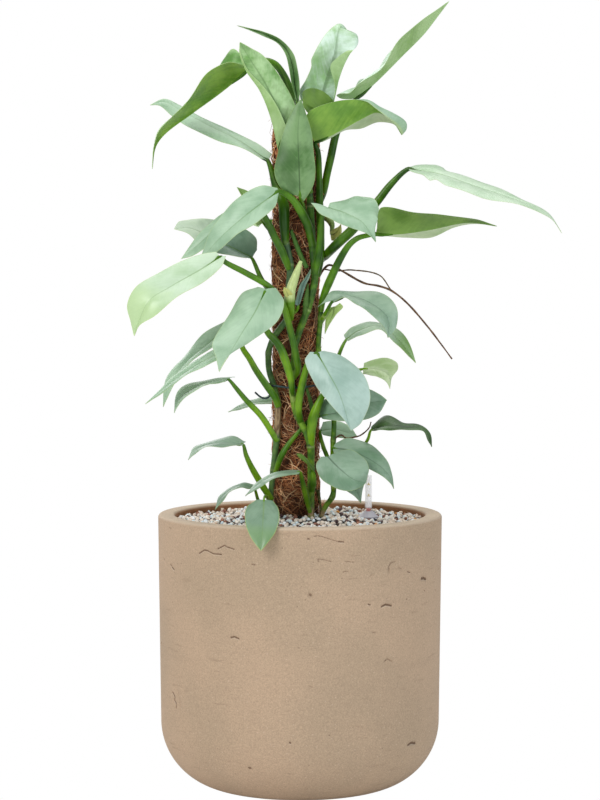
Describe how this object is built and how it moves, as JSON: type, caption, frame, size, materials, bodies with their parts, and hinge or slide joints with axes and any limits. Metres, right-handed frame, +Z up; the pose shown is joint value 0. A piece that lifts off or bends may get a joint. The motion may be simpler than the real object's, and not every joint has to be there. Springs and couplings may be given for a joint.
{
  "type": "potted silver queen philodendron",
  "caption": "Climbing aroid with long silver-green leaves, tied to a coir pole in a round planter topped with mineral granules, with a water gauge.",
  "frame": {"origin": "centre of the pot's flat underside", "axes": "+Z up along the pot's axis, -Y towards the viewer of the front, +X to that viewer's right"},
  "size_m": [0.5185, 0.3808, 0.9687],
  "materials": {
    "pot_shell": "matt sandy fibre-clay with fine pits",
    "granules": "rough mixed mineral granules",
    "coir": "matted coconut fibre",
    "stake_wood": "plain sawn wood",
    "clear_plastic": "clear to milky plastic tube",
    "red_plastic": "red-orange plastic",
    "grey_plastic": "light grey plastic",
    "tie_wire": "dark covered wire",
    "stem_green": "smooth living stem",
    "leaf_silver": "waxy leaf, silver-green above and green below"
  },
  "bodies": {
    "root": {"pot": "pot_shell", "substrate": "granules", "coir_pole": "coir", "pole_stake": "stake_wood", "gauge_tube": "clear_plastic", "gauge_float": "red_plastic", "gauge_collar": "grey_plastic", "plant_tie": "tie_wire", "stem_left": "stem_green", "stem_middle": "stem_green", "stem_right": "stem_green", "stem_back": "stem_green", "leaf_01": "leaf_silver", "leaf_02": "leaf_silver", "leaf_03": "leaf_silver", "leaf_04": "leaf_silver", "leaf_05": "leaf_silver", "leaf_06": "leaf_silver", "leaf_07": "leaf_silver", "leaf_08": "leaf_silver", "leaf_09": "leaf_silver", "leaf_10": "leaf_silver", "leaf_11": "leaf_silver", "leaf_12": "leaf_silver", "leaf_13": "leaf_silver", "leaf_14": "leaf_silver", "leaf_15": "leaf_silver", "leaf_16": "leaf_silver", "leaf_17": "leaf_silver", "leaf_18": "leaf_silver", "leaf_19": "leaf_silver", "leaf_20": "leaf_silver", "leaf_21": "leaf_silver", "leaf_22": "leaf_silver", "leaf_23": "leaf_silver", "leaf_24": "leaf_silver", "leaf_25": "leaf_silver", "leaf_26": "leaf_silver", "leaf_27": "leaf_silver", "leaf_28": "leaf_silver", "leaf_29": "leaf_silver", "leaf_30": "leaf_silver", "leaf_31": "leaf_silver", "leaf_32": "leaf_silver", "leaf_33": "leaf_silver", "leaf_34": "leaf_silver", "leaf_35": "leaf_silver", "leaf_36": "leaf_silver", "leaf_37": "leaf_silver", "leaf_38": "leaf_silver", "leaf_39": "leaf_silver", "leaf_40": "leaf_silver", "leaf_41": "leaf_silver", "leaf_42": "leaf_silver", "leaf_43": "leaf_silver", "leaf_44": "leaf_silver", "leaf_45": "leaf_silver", "leaf_46": "leaf_silver"}
  },
  "joints": []
}
